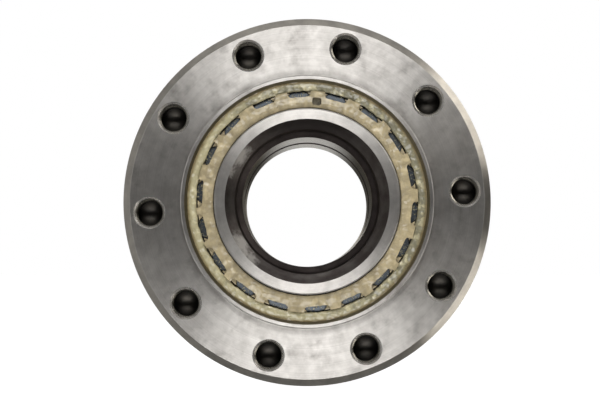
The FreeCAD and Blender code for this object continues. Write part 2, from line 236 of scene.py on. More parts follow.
class HubFinishes(bpy.types.PropertyGroup):
    """Colours and polish of the unit's surfaces"""

    steel: tint("Turned steel", (0.655, 0.63, 0.595), "Flanged ring")
    stain: tint("Steel stain", (0.30, 0.28, 0.26), "Oil and handling marks on the flange")
    ground: tint("Ground steel", (0.64, 0.615, 0.58), "Inner rings")
    recess: tint("Recess", (0.115, 0.096, 0.09), "Unground mouth of the inner ring")
    bore: tint("Bore", (0.37, 0.325, 0.25), "Oiled bore of the inner rings")
    rim: tint("Rim", (0.64, 0.60, 0.53), "Turned rim, chamfers and barrel")
    # Paler edge colour: a painted highlight, so the collar's edge reads bright from every side
    edge: tint("Edge highlight", (0.61, 0.59, 0.555), "Edge of the collar, worn bright")
    # Darker brown copy of the steel for the collar's mouth chamfer and wall: an oily tint, darkened
    # further as painted shade inside the mouth
    oiled: tint("Oily shaded edge", (0.30, 0.27, 0.21), "Oily edge of the collar's mouth")
    # Near-black inside of the tapped holes: painted shade deep in the holes
    drilled: tint("Drilled hole", (0.075, 0.068, 0.058), "Oily inside of the tapped holes")
    thread: tint("Thread", (0.36, 0.34, 0.29), "Oily threads")
    roller: tint("Roller steel", (0.10, 0.113, 0.128), "Superfinished rollers")
    cage: tint("Cage", (0.42, 0.345, 0.20), "Moulded cage")
    grease: tint("Grease", (0.44, 0.395, 0.235), "Thick grease")
    thin_grease: tint("Thin grease", (0.20, 0.185, 0.12), "Grease smeared thin over steel")
    # Dark brown for the band of grease next to the mouth wall
    oil: tint("Oil film", (0.17, 0.125, 0.055), "Brown oil that bleeds out of the grease")
    rubber: tint("Rubber", (0.022, 0.022, 0.024), "Seal lip")
    sheet: tint("Pressed sheet", (0.52, 0.52, 0.52), "Seal case and flinger")
    tone: tint("Tone ring", (0.27, 0.27, 0.28), "Phosphated ring")
    turned_rough: share("Turned roughness", 0.45, "Polish of the turned faces")
    turned_grain: share("Turned grain", 0.9, "How far the turning stretches the gloss")


class HubStudio(bpy.types.PropertyGroup):
    """Camera, lamps and floor"""

    lens: bpy.props.FloatProperty(
        name="Lens", description="Focal length in millimetres", default=127.4
    )
    sensor: bpy.props.FloatProperty(
        name="Sensor", description="Sensor width in millimetres", default=36
    )
    tilt: turn("Camera tilt", 1.92, "Upwards from the bearing axis")
    distance: length("Camera distance", 1.33, "To the outboard face")
    aside: length("Camera aside", -0.0045, "From the bearing axis")
    raised: length("Camera raised", 0.00075, "From the line through the outboard face")
    floor: length("Floor", 60.0, "Width of the floor")


class End:
    """One end of the unit. Depths run inwards from the face of its inner ring."""

    def __init__(self, face, inwards, setback):
        self.face = face
        self.inwards = inwards
        self.setback = setback

    def place(self, depth):
        return self.face + self.inwards * depth

    def outline(self, points):
        return [(self.place(point[0]), *point[1:]) for point in points]


def ends(sizes):
    return End(outboard_face, 1, sizes.outboard), End(inboard_face, -1, sizes.inboard)


def roller_circle(sizes):
    return sizes.bore + sizes.wall + sizes.roller * math.cos(sizes.tilt)


def roller_taper(sizes):
    return math.atan(sizes.roller * math.sin(sizes.tilt) / roller_circle(sizes))


def beside_roller(sizes, end, along, out):
    """Depth and radius of a point along a roller's axis from its large end, and out from it."""
    depth = end.setback + along * math.cos(sizes.tilt) + out * math.sin(sizes.tilt)
    radius = roller_circle(sizes) - along * math.sin(sizes.tilt) + out * math.cos(sizes.tilt)
    return depth, radius


def roller_angle(sizes, place):
    """Angle of a roller counted from 0, or of the cage bar after it where place ends in a half."""
    return sizes.first + 2 * math.pi * place / sizes.count


def softened(outline):
    """The outline with each rounded corner drawn as short runs."""
    points = []
    for index, corner in enumerate(outline):
        here = Vector(corner[:2])
        if len(corner) < 3 or corner[2] <= 0:
            points.append(here)
            continue
        before = Vector(outline[index - 1][:2]) - here
        after = Vector(outline[(index + 1) % len(outline)][:2]) - here
        half = before.angle(after) / 2
        room = 0.49 * min(before.length, after.length)
        run = min(corner[2] / math.tan(half), room)
        radius = run * math.tan(half)
        inwards = (before.normalized() + after.normalized()).normalized()
        centre = here + inwards * (radius / math.sin(half))
        start = here + before.normalized() * run - centre
        finish = here + after.normalized() * run - centre
        steps = 2 if radius < SMALL_ROUNDING else 5
        for step in range(steps + 1):
            outwards = start.normalized().slerp(finish.normalized(), step / steps)
            points.append(centre + outwards * start.length)
    return points


def rounded(outline, radius):
    """The outline with a small rounding on each corner that has none of its own."""
    return [corner if len(corner) > 2 else (*corner, radius) for corner in outline]


def finer(points, step):
    """The outline with points added so that no run is longer than step."""
    result = []
    for start, finish in zip(points, points[1:] + points[:1]):
        parts = max(1, math.ceil((finish - start).length / step))
        result.extend(start.lerp(finish, part / parts) for part in range(parts))
    return result


def clear_selection():
    if bpy.context.object and bpy.context.object.mode != "OBJECT":
        bpy.ops.object.mode_set(mode="OBJECT")
    bpy.ops.object.select_all(action="DESELECT")


def activate(piece, *others):
    clear_selection()
    for each in (piece, *others):
        each.select_set(True)
    bpy.context.view_layer.objects.active = piece


def draw_outline(name, points):
    """A closed line in the XY plane, drawn by extruding one vertex from corner to corner."""
    clear_selection()
    bpy.ops.mesh.primitive_plane_add(size=MM)
    piece = bpy.context.object
    piece.name = name
    bpy.ops.object.mode_set(mode="EDIT")
    bpy.ops.mesh.select_all(action="SELECT")
    bpy.ops.mesh.merge(type="CENTER")
    bpy.ops.transform.translate(value=(points[0][1], points[0][0], 0))
    for start, finish in zip(points, points[1:] + points[:1]):
        step = (finish[1] - start[1], finish[0] - start[0], 0)
        bpy.ops.mesh.extrude_vertices_move(TRANSFORM_OT_translate={"value": step})
    bpy.ops.mesh.select_all(action="SELECT")
    bpy.ops.mesh.remove_doubles(threshold=WELD)
    return piece


def turned(name, outline, sides=360, rounding=0.0, step=1.0):
    """A ring or disc turned about the bearing axis, with no run along its outline longer than step."""
    points = finer(softened(rounded(outline, rounding)), step)
    piece = draw_outline(name, points)
    bpy.ops.mesh.select_all(action="SELECT")
    bpy.ops.mesh.spin(
        steps=sides, angle=2 * math.pi, use_auto_merge=True, center=(0, 0, 0), axis=(0, 1, 0)
    )
    bpy.ops.mesh.select_all(action="SELECT")
    bpy.ops.mesh.remove_doubles(threshold=WELD)
    bpy.ops.mesh.normals_make_consistent(inside=False)
    bpy.ops.object.mode_set(mode="OBJECT")
    return piece


def apply_modifier(piece, kind, **values):
    activate(piece)
    modifier = piece.modifiers.new(kind.title(), kind)
    for key, value in values.items():
        setattr(modifier, key, value)
    bpy.ops.object.modifier_apply(modifier=modifier.name)


def smooth(piece, angle=SMOOTH_ANGLE):
    """Smooth shading that keeps flat faces flat up to their rounded edges."""
    activate(piece)
    bpy.ops.object.shade_smooth_by_angle(angle=angle)
    apply_modifier(piece, "WEIGHTED_NORMAL", keep_sharp=True, weight=80)


def copied(piece, name):
    """A copy with its own mesh."""
    activate(piece)
    bpy.ops.object.duplicate(linked=False)
    copy = bpy.context.object
    copy.name = name
    return copy


def moved(piece, offset=(0, 0, 0), angle=0.0):
    """Moves a piece and then turns it about the bearing axis from +X towards +Z, in its mesh."""
    activate(piece)
    bpy.ops.object.mode_set(mode="EDIT")
    bpy.ops.mesh.select_all(action="SELECT")
    bpy.ops.transform.translate(value=offset)
    bpy.ops.transform.rotate(
        value=angle, orient_axis="Y", center_override=(0, 0, 0), orient_type="GLOBAL"
    )
    bpy.ops.object.mode_set(mode="OBJECT")
    return piece


def joined(pieces, name):
    activate(*pieces)
    bpy.ops.object.join()
    piece = bpy.context.object
    piece.name = name
    return piece


def settle(piece, material, body, slot, *nodes):
    """Gives a finished piece its material and its body, and hides the CAD nodes it stands for. The slot
    is not used.
    """
    piece.data.materials.clear()
    piece.data.materials.append(material)
    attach(piece, body)
    if nodes:
        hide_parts(*nodes)
    clear_selection()
    return piece


def dress(names, material):
    """Gives carried-over CAD nodes a material."""
    for name in names:
        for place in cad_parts[name].material_slots:
            place.material = material


# Shader parts


class Nodes:
    """Short way to place and link nodes in one tree."""

    def __init__(self, tree):
        self.tree = tree

    def add(self, kind, inputs=(), **settings):
        node = self.tree.nodes.new("ShaderNode" + kind)
        for key, value in settings.items():
            setattr(node, key, value)
        for key, value in dict(inputs).items():
            self.put(node.inputs[key], value)
        return node

    def put(self, socket, value):
        if isinstance(value, bpy.types.NodeSocket):
            self.tree.links.new(value, socket)
        else:
            socket.default_value = value

    def math(self, operation, *values):
        node = self.add("Math", operation=operation)
        for socket, value in zip(node.inputs, values):
            self.put(socket, value)
        return node.outputs[0]

    def vector(self, operation, *values):
        node = self.add("VectorMath", operation=operation)
        for socket, value in zip(node.inputs, values):
            self.put(socket, value)
        return node.outputs[1 if operation in ("LENGTH", "DISTANCE", "DOT_PRODUCT") else 0]

    def span(self, value, low, high, to_low=0.0, to_high=1.0):
        node = self.add("MapRange", {
            "Value": value, "From Min": low, "From Max": high, "To Min": to_low, "To Max": to_high,
        })
        return node.outputs["Result"]

    def mix(self, factor, first, second):
        """A blend of two colours, or of two numbers where the second is one."""
        plain = isinstance(second, float)
        node = self.add("Mix", data_type="FLOAT" if plain else "RGBA")
        sockets = node.inputs[0:1] + (node.inputs[2:4] if plain else node.inputs[6:8])
        for socket, value in zip(sockets, (factor, first, second)):
            self.put(socket, value)
        return node.outputs[0 if plain else 2]

    def noise(self, where, scale, detail=3.0, rough=0.5, **settings):
        node = self.add("TexNoise", {"Scale": scale, "Detail": detail, "Roughness": rough}, **settings)
        self.put(node.inputs["W" if settings.get("noise_dimensions") == "1D" else "Vector"], where)
        return node.outputs["Fac"]


def effect(name, inputs, outputs):
    """A new shader node group with its named sockets, and short ways to its inputs and outputs."""
    tree = bpy.data.node_groups.new(name, "ShaderNodeTree")
    for label, value in inputs.items():
        kind = "NodeSocketFloat" if isinstance(value, float) else "NodeSocketVector"
        socket = tree.interface.new_socket(name=label, in_out="INPUT", socket_type=kind)
        if isinstance(value, float):
            socket.default_value = value
    for label in outputs:
        tree.interface.new_socket(name=label, in_out="OUTPUT", socket_type="NodeSocketFloat")
    start = tree.nodes.new("NodeGroupInput")
    finish = tree.nodes.new("NodeGroupOutput")
    return Nodes(tree), start.outputs, finish.inputs


def turning_marks():
    """Fine circles that a lathe leaves, on faces, cones and barrels alike."""
    nodes, given, result = effect("turning_marks", {"Position": None, "Pitch": 0.0006}, ["Marks"])
    apart = nodes.add("SeparateXYZ", {"Vector": given["Position"]})
    flat = nodes.add("CombineXYZ", {"X": apart.outputs["X"], "Z": apart.outputs["Z"]})
    radius = nodes.vector("LENGTH", flat.outputs[0])
    along = nodes.math("ADD", radius, nodes.math("MULTIPLY", apart.outputs["Y"], 0.77))
    fine = nodes.noise(nodes.math("DIVIDE", along, given["Pitch"]), 1.0, 2.0, noise_dimensions="1D")
    broad = nodes.noise(nodes.math("DIVIDE", along, 0.0035), 1.0, 1.0, noise_dimensions="1D")
    both = nodes.math("ADD", nodes.math("MULTIPLY", fine, 0.7), nodes.math("MULTIPLY", broad, 0.3))
    nodes.put(result["Marks"], both)
    return nodes.tree


def smudges():
    """Soft uneven patches, as oil and hands leave on bare steel."""
    nodes, given, result = effect(
        "smudges", {"Position": None, "Size": 0.03, "Cover": 0.5}, ["Patch", "Fleck"]
    )
    near = nodes.add("VectorMath", operation="SCALE", inputs={"Vector": given["Position"]})
    nodes.put(near.inputs["Scale"], nodes.math("DIVIDE", 1.0, given["Size"]))
    broad = nodes.noise(near.outputs[0], 1.0, 4.0, 0.6)
    low = nodes.math("SUBTRACT", 0.78, nodes.math("MULTIPLY", given["Cover"], 0.5))
    patch = nodes.math("MULTIPLY", nodes.math("SUBTRACT", broad, low), 4.0)
    patch.node.use_clamp = True
    nodes.put(result["Patch"], patch)
    small = nodes.noise(near.outputs[0], 14.0, 2.0, 0.6)
    nodes.put(result["Fleck"], nodes.span(small, 0.62, 0.74))
    return nodes.tree


def strokes():
    """Streaks that run out from the bearing axis, as a finger or a packing tool leaves in grease."""
    nodes, given, result = effect(
        "strokes", {"Position": None, "Count": 40.0, "Run": 120.0}, ["Streaks", "Lumps"]
    )
    apart = nodes.add("SeparateXYZ", {"Vector": given["Position"]})
    flat = nodes.add("CombineXYZ", {"X": apart.outputs["X"], "Z": apart.outputs["Z"]}).outputs[0]
    outwards = nodes.vector("NORMALIZE", flat)
    around = nodes.add("VectorMath", operation="SCALE", inputs={"Vector": outwards})
    nodes.put(around.inputs["Scale"], given["Count"])
    out = nodes.math("MULTIPLY", nodes.vector("LENGTH", flat), given["Run"])
    where = nodes.vector("ADD", around.outputs[0], nodes.add("CombineXYZ", {"Y": out}).outputs[0])
    nodes.put(result["Streaks"], nodes.noise(where, 1.0, 4.0, 0.55))
    nodes.put(result["Lumps"], nodes.noise(given["Position"], 230.0, 4.0, 0.5))
    return nodes.tree


def smears_and_shade():
    """One spot with a ragged edge, for skin wiped off, a darker top and painted shade."""
    nodes, given, result = effect(
        "smears_and_shade", {"Position": None, "Spot": None, "Reach": 0.008}, ["Mask"]
    )
    away = nodes.vector("DISTANCE", given["Position"], given["Spot"])
    ragged = nodes.noise(given["Position"], 260.0, 4.0, 0.6)
    wander = nodes.math("MULTIPLY", nodes.math("SUBTRACT", ragged, 0.5), 0.014)
    ratio = nodes.math("DIVIDE", nodes.math("ADD", away, wander), given["Reach"])
    nodes.put(result["Mask"], nodes.span(ratio, 1.15, 0.35, 0.0, 0.85))
    return nodes.tree


def group_node(nodes, tree, **inputs):
    node = nodes.add("Group", node_tree=tree)
    for key, value in inputs.items():
        nodes.put(node.inputs[key], value)
    return node.outputs


def start_material(name, **uniform):
    """A material with one Principled shader and its object coordinates."""
    material = bpy.data.materials.new(name)
    material.use_nodes = True
    nodes = Nodes(material.node_tree)
    shader = material.node_tree.nodes["Principled BSDF"]
    for key, value in uniform.items():
        shader.inputs[key.replace("_", " ")].default_value = value
    where = nodes.add("TexCoord").outputs["Object"]
    return material, nodes, shader, where


def raise_bump(nodes, shader, height, strength, distance):
    bump = nodes.add("Bump", {"Height": height, "Strength": strength, "Distance": distance})
    nodes.put(shader.inputs["Normal"], bump.outputs[0])


def with_alpha(colour):
    return (*colour, 1.0)


def shaded(colour, factor, lift=0.0):
    """The colour made darker or paler."""
    return [min(1.0, part * factor + lift) for part in colour]


def steel(
    name, colour, stain, effects, rough, grain, pitch=0.0006, patch=0.03, cover=0.4, metal=1.0
):
    """Turned steel whose gloss fans out across its turning marks."""
    material, nodes, shader, where = start_material(
        name, Metallic=metal, Anisotropic=grain, Anisotropic_Rotation=0.25
    )
    tangent = nodes.add("Tangent", direction_type="RADIAL", axis="Y")
    nodes.put(shader.inputs["Tangent"], tangent.outputs[0])
    marks = group_node(nodes, effects["marks"], Position=where, Pitch=pitch)["Marks"]
    spots = group_node(nodes, effects["smudges"], Position=where, Size=patch, Cover=cover)
    shade = nodes.span(marks, 0.3, 0.7, 0.0, 0.2)
    clouds = nodes.span(nodes.noise(where, 95.0, 5.0, 0.62), 0.36, 0.62, 0.0, 0.38)
    shade = nodes.math("ADD", shade, clouds)
    dark = nodes.math("ADD", nodes.math("MULTIPLY", spots["Patch"], 0.5), shade)
    dark = nodes.math("ADD", dark, nodes.math("MULTIPLY", spots["Fleck"], 0.12))
    nodes.put(shader.inputs["Base Color"], nodes.mix(dark, with_alpha(colour), with_alpha(stain)))
    polish = nodes.math("ADD", nodes.span(marks, 0.3, 0.7, rough - 0.04, rough + 0.04),
                        nodes.math("MULTIPLY", spots["Patch"], 0.10))
    nodes.put(shader.inputs["Roughness"], polish)
    raise_bump(nodes, shader, marks, 0.25, 0.00002)
    return material


def recolour_spot(material, effects, colour, degrees, radius, depth, reach):
    """Gives a material another colour round one spot, whose depth is taken from the outboard face."""
    nodes = Nodes(material.node_tree)
    shader = material.node_tree.nodes["Principled BSDF"]
    where = nodes.add("TexCoord").outputs["Object"]
    angle = math.radians(degrees)
    spot = (math.cos(angle) * radius, outboard_face + depth, math.sin(angle) * radius)
    mask = group_node(nodes, effects["smears_and_shade"], Position=where, Spot=spot, Reach=reach)["Mask"]
    under = shader.inputs["Base Color"].links[0].from_socket
    nodes.put(shader.inputs["Base Color"], nodes.mix(mask, under, with_alpha(colour)))


def make_materials(finishes):
    effects = {
        "marks": turning_marks(), "smudges": smudges(), "strokes": strokes(), "smears_and_shade": smears_and_shade(),
    }
    made = {}
    made["turned"] = steel(
        "turned_steel", finishes.steel, finishes.stain, effects,
        rough=finishes.turned_rough, grain=finishes.turned_grain, patch=0.013, cover=0.5,
    )
    # Painted highlight: a paler, half-metal, rough copy of the steel that looks lit from every side
    made["edge"] = steel(
        "edge_painted_highlight", finishes.edge, finishes.stain, effects,
        rough=0.4, grain=0.0, patch=0.02, cover=0.7, metal=0.55,
    )
    # Painted shade: the steel darkened about 0.6 times inside the collar's mouth, with an oily brown tint
    made["oiled"] = steel(
        "oiled_edge", finishes.oiled, finishes.thin_grease, effects,
        rough=0.35, grain=0.3, patch=0.01, cover=0.6,
    )
    # Painted shade: near-black walls and drill points deep in the tapped holes
    made["drilled"] = steel(
        "drilled_hole", finishes.drilled, finishes.rubber, effects,
        rough=0.33, grain=0.0, patch=0.005, cover=0.4,
    )
    made["rim"] = steel(
        "turned_rim", finishes.rim, finishes.stain, effects, rough=0.32, grain=0.6, cover=0.3
    )
    made["ground"] = steel(
        "ground_steel", finishes.ground, finishes.stain, effects,
        rough=0.42, grain=0.8, pitch=0.0003, cover=0.2,
    )
    made["bore"] = steel(
        "honed_bore", finishes.bore, finishes.thin_grease, effects,
        rough=0.3, grain=0.6, pitch=0.0005, cover=0.3,
    )
    # Painted shade: a near-black copy of the recess colour, for the seam groove, the foot of the mouth
    # and the clamp ring
    made["throat"] = steel(
        "throat_painted_shade", shaded(finishes.recess, 0.35), finishes.recess, effects, rough=0.5, grain=0.3
    )
    made["recess"] = steel(
        "unground_recess", finishes.recess, finishes.stain, effects,
        rough=0.42, grain=0.85, pitch=0.0005, cover=0.3,
    )
    # The recess is darker towards the top, and bare ground steel shows where its skin is wiped off
    darker_top, bare = shaded(finishes.recess, 0.3), finishes.ground
    recolour_spot(made["recess"], effects, darker_top, degrees=88, radius=0.058, depth=0, reach=0.050)
    recolour_spot(made["recess"], effects, bare, degrees=146, radius=0.0505, depth=0.002, reach=0.0075)
    recolour_spot(made["recess"], effects, bare, degrees=158, radius=0.0515, depth=0.001, reach=0.0045)
    recolour_spot(made["recess"], effects, bare, degrees=213, radius=0.0495, depth=0.003, reach=0.0090)
    recolour_spot(made["recess"], effects, bare, degrees=226, radius=0.0505, depth=0.002, reach=0.0060)
    # The thread's darker patches take the near-black painted shade of the holes
    made["thread"] = steel(
        "cut_thread", finishes.thread, finishes.drilled, effects, rough=0.28, grain=0.0, pitch=0.0004
    )
    made["sink"] = countersink_highlight(finishes)
    made["sheet"] = steel(
        "pressed_sheet", finishes.sheet, finishes.stain, effects, rough=0.30, grain=0.4, pitch=0.001
    )
    made["tone"] = tone_finish(finishes, effects)
    made["roller"] = roller_finish(finishes, effects)
    made["cage"] = grease_finish("cage_plastic", finishes.cage, effects, rough=0.32, relief=0.00024)
    # Painted shade: the cage darkened almost to black behind its tool notch
    grease = bpy.context.scene.hub_grease
    recolour_spot(
        made["cage"], effects, shaded(finishes.thin_grease, 0.12),
        degrees=math.degrees(grease.notch), radius=grease.outside - grease.notch_height / 2,
        depth=grease.cage_face - outboard_face, reach=0.0085,
    )
    made["grease"] = grease_finish("grease", finishes.cage, effects, rough=0.26, relief=0.0002)
    made["wall_grease"] = wall_finish(finishes, effects, bpy.context.scene.hub_flange)
    made["rubber"] = rubber_finish(finishes, effects)
    return made


def countersink_highlight(finishes):
    """Countersunk edge of a hole, paler than the turned steel: a painted highlight."""
    material, nodes, shader, where = start_material("countersink", Metallic=0.9, Roughness=0.24)
    pale = shaded(finishes.steel, 1.3)
    shade = nodes.span(nodes.noise(where, 300.0), 0.35, 0.65)
    nodes.put(shader.inputs["Base Color"], nodes.mix(shade, with_alpha(pale), with_alpha(finishes.steel)))
    return material


def roller_finish(finishes, effects):
    """Superfinished steel with grease left on it in streaks and specks."""
    material, nodes, shader, where = start_material("roller_steel")
    trails = group_node(nodes, effects["strokes"], Position=where, Count=90.0, Run=600.0)
    specks = group_node(nodes, effects["smudges"], Position=where, Size=0.0035, Cover=0.35)
    left = nodes.span(trails["Streaks"], 0.58, 0.64)
    left = nodes.math("MAXIMUM", left, specks["Fleck"])
    colour = nodes.mix(specks["Patch"], with_alpha(finishes.roller), with_alpha(finishes.thin_grease))
    colour = nodes.mix(left, colour, with_alpha(finishes.grease))
    nodes.put(shader.inputs["Base Color"], colour)
    nodes.put(shader.inputs["Metallic"], nodes.math("SUBTRACT", 1.0, left))
    nodes.put(shader.inputs["Roughness"], nodes.mix(left, 0.42, 0.25))
    raise_bump(nodes, shader, left, 0.5, 0.0002)
    return material


def dull_patches(nodes, shader, spots):
    """Duller patches and small raised flecks."""
    dull = nodes.math("MULTIPLY", spots["Patch"], 0.15)
    nodes.put(shader.inputs["Roughness"], nodes.math("ADD", 0.42, dull))
    raise_bump(nodes, shader, spots["Fleck"], 0.3, 0.00005)


def tone_finish(finishes, effects):
    """Dark phosphate coat with stains."""
    material, nodes, shader, where = start_material("tone_steel", Metallic=0.85)
    spots = group_node(nodes, effects["smudges"], Position=where, Size=0.008, Cover=0.5)
    colour = nodes.mix(spots["Patch"], with_alpha(finishes.tone), with_alpha(finishes.stain))
    nodes.put(shader.inputs["Base Color"], colour)
    dull_patches(nodes, shader, spots)
    return material


def rubber_finish(finishes, effects):
    """Black rubber with a little grease on it."""
    material, nodes, shader, where = start_material("seal_rubber")
    spots = group_node(nodes, effects["smudges"], Position=where, Size=0.01, Cover=0.5)
    colour = nodes.mix(nodes.math("MULTIPLY", spots["Patch"], 0.3), with_alpha(finishes.rubber),
                       with_alpha(finishes.thin_grease))
    nodes.put(shader.inputs["Base Color"], colour)
    dull_patches(nodes, shader, spots)
    return material


def grease_finish(name, colour, effects, rough, relief):
    """Creamy grease with strokes, thinner and darker in places."""
    material, nodes, shader, where = start_material(
        name, Coat_Weight=0.6, Coat_Roughness=0.18
    )
    trails = group_node(nodes, effects["strokes"], Position=where, Count=15.0, Run=90.0)
    pale = shaded(colour, 1.35, lift=0.03)
    deep = shaded(colour, 0.66)
    shade = nodes.mix(nodes.span(trails["Streaks"], 0.34, 0.62), with_alpha(deep), with_alpha(colour))
    shade = nodes.mix(nodes.span(trails["Lumps"], 0.52, 0.72, 0.0, 0.8), shade, with_alpha(pale))
    nodes.put(shader.inputs["Base Color"], shade)
    nodes.put(shader.inputs["Roughness"], nodes.span(trails["Lumps"], 0.3, 0.7, rough + 0.12, rough))
    both = nodes.math("ADD", nodes.math("MULTIPLY", trails["Streaks"], 0.6), trails["Lumps"])
    raise_bump(nodes, shader, both, 0.5, relief)
    return material


def wall_finish(finishes, effects, ring):
    """Grease on the outer ring, creamy at the left and below, darker and green-grey towards the right and
    the top.
    """
    material, nodes, shader, where = start_material(
        "wall_grease", Coat_Weight=0.6, Coat_Roughness=0.12
    )
    trails = group_node(nodes, effects["strokes"], Position=where, Count=26.0, Run=260.0)
    apart = nodes.add("SeparateXYZ", {"Vector": where})
    # Darker towards the right and the top
    side = nodes.math("ADD", apart.outputs["X"], nodes.math("MULTIPLY", apart.outputs["Z"], 0.55))
    thin = nodes.span(side, -0.05, 0.055)
    thin = nodes.math("ADD", thin, nodes.span(trails["Streaks"], 0.3, 0.7, -0.45, 0.45))
    thin.node.use_clamp = True
    colour = nodes.mix(thin, with_alpha(finishes.grease), with_alpha(finishes.thin_grease))
    pale = shaded(finishes.grease, 1.35, lift=0.06)
    colour = nodes.mix(nodes.span(trails["Lumps"], 0.52, 0.66, 0.0, 0.75), colour, with_alpha(pale))
    flat = nodes.add("CombineXYZ", {"X": apart.outputs["X"], "Z": apart.outputs["Z"]})
    radius = nodes.vector("LENGTH", flat.outputs[0])
    radius = nodes.math("ADD", radius, nodes.span(trails["Lumps"], 0.3, 0.7, -0.0006, 0.0006))
    # A dark brown band where the grease meets the mouth wall
    film = nodes.span(radius, ring.mouth - 2.2 * MM, ring.mouth - 0.3 * MM, 0.0, 0.85)
    colour = nodes.mix(film, colour, with_alpha(finishes.oil))
    nodes.put(shader.inputs["Base Color"], colour)
    nodes.put(shader.inputs["Roughness"], nodes.span(trails["Lumps"], 0.3, 0.7, 0.36, 0.2))
    raise_bump(nodes, shader, trails["Lumps"], 0.6, 0.0003)
    return material


def raceway_side(sizes, end, width):
    """Outside of an inner ring, from its face over the rib and the raceway to the seam."""
    floor = -sizes.roller - sizes.play
    tail = sizes.span / math.cos(sizes.tilt)
    small = sizes.roller - tail * math.tan(roller_taper(sizes))
    rib = sizes.bore + sizes.wall + sizes.rib
    large_foot = beside_roller(sizes, end, -sizes.play, floor)
    rib_back = beside_roller(sizes, end, -sizes.play, floor + sizes.rib / math.cos(sizes.tilt))
    small_end = tail + sizes.end_play - sizes.play
    small_foot = beside_roller(sizes, end, small_end, -small - sizes.play)
    small_top = beside_roller(sizes, end, small_end, -small - sizes.play + sizes.small_rib)
    land = small_foot[1] - sizes.play
    return [
        (0, rib - sizes.edge),
        (sizes.edge, rib),
        (rib_back[0], rib),
        large_foot,
        small_foot,
        small_top,
        (small_top[0] + sizes.small_rib_width, small_top[1]),
        (small_top[0] + sizes.small_rib_width + sizes.small_rib, land),
        (width - sizes.edge, land),
        (width, land - sizes.edge),
    ]


def seam_side(sizes, width):
    """Bore side of an inner ring at the seam, with the groove that the clamp ring hooks into."""
    relief = sizes.bore + sizes.relief
    return [
        (width, relief),
        (width - sizes.hook_reach, relief),
        (width - sizes.hook_reach, relief + sizes.hook),
        (width - sizes.relief_reach, relief + sizes.hook),
        (width - sizes.relief_reach, sizes.bore, sizes.groove_edge),
    ]


class HUB_OT_inner_rings(bpy.types.Operator):
    """Turn both inner rings, with their ribs, raceways and seam grooves"""

    bl_idname = "hub.inner_rings"
    bl_label = "Inner rings"

    def execute(self, context):
        sizes = context.scene.hub_rollers
        outboard, inboard = ends(sizes)
        bore = sizes.bore
        cone_end = sizes.cone_depth
        step_end = cone_end + sizes.step_depth
        mouth = [
            (step_end + sizes.chamfer_depth, bore),
            (step_end, bore + sizes.mouth_step),
            (cone_end, bore + sizes.mouth_floor, sizes.mouth_rounding),
            (0, bore + sizes.mouth_edge),
        ]
        rear = [(sizes.rear_chamfer, bore), (0, bore + sizes.rear_chamfer)]
        for name, node, end, opening in (
            ("outboard_ring", "outboard_inner_ring", outboard, mouth),
            ("inboard_ring", "inboard_inner_ring", inboard, rear),
        ):
            width = abs(end.face)
            outline = raceway_side(sizes, end, width) + seam_side(sizes, width) + opening
            piece = turned(name, end.outline(outline), rounding=sizes.rounding)
            smooth(piece)
            settle(piece, materials["ground"], "inner_ring_set", "ground_steel", node)
            second_finish(piece, materials["bore"], lambda spot, radius: radius < bore + HAIR)
            # Painted shade in the seam groove of the bore
            second_finish(piece, materials["throat"], lambda spot, radius: (
                abs(spot.y) < sizes.relief_reach + sizes.groove_edge
                and bore + HAIR < radius < bore + sizes.relief + sizes.hook + 2 * HAIR
            ))
            if end is outboard:
                reach = bore + sizes.mouth_edge
                depth = step_end + sizes.chamfer_depth
                second_finish(piece, materials["recess"], lambda spot, radius: (
                    bore + HAIR < radius < reach - 3 * HAIR and spot.y - end.face < depth
                ))
                # Painted shade at the foot of the mouth's cone, over the step and the chamfer to the bore
                second_finish(piece, materials["throat"], lambda spot, radius: (
                    bore + HAIR < radius < bore + sizes.mouth_floor + 6 * HAIR
                    and cone_end - 1 * MM < spot.y - end.face < depth
                ))
        return {"FINISHED"}


def second_finish(piece, material, wanted):
    """Gives another material to the faces whose middle is wanted."""
    piece.data.materials.append(material)
    for face in piece.data.polygons:
        if wanted(face.center, math.hypot(face.center.x, face.center.z)):
            face.material_index = len(piece.data.materials) - 1


class HUB_OT_clamp_ring(bpy.types.Operator):
    """Press the thin clamp ring that hooks both inner rings together"""

    bl_idname = "hub.clamp_ring"
    bl_label = "Clamp ring"

    def execute(self, context):
        rollers = context.scene.hub_rollers
        clamp = context.scene.hub_clamp
        inside = rollers.bore + clamp.recess
        outside = inside + clamp.sheet
        hook = outside + rollers.hook
        half, step = clamp.half, clamp.inside_hook
        piece = turned("seam_clamp", [
            (-half, inside, clamp.bend), (-half, hook), (-step, hook), (-step, outside, clamp.inner_bend),
            (step, outside, clamp.inner_bend), (step, hook), (half, hook), (half, inside, clamp.bend),
        ], sides=240, rounding=clamp.edge)
        smooth(piece)
        # The clamp ring takes the near-black painted shade of the seam groove
        settle(piece, materials["throat"], "inner_ring_set", "sheet_steel", "clamp_ring")
        return {"FINISHED"}


def hole_tool(holes, face):
    """Tool that cuts one tapped hole: 45 degree countersink, thread wall, drill wall and point."""
    over = 1 * MM
    tip = holes.drill / math.tan(holes.point / 2)
    return turned("hole_tool", [
        (face - over, 0),
        (face - over, holes.sink + over),
        (face + (holes.sink - holes.root), holes.root),
        (face + holes.thread, holes.root),
        (face + holes.thread + (holes.root - holes.drill), holes.drill),
        (face + holes.depth, holes.drill),
        (face + holes.depth + tip, 0),
    ], sides=64)


def hole_angle(holes, index):
    return holes.first + 2 * math.pi * index / holes.count


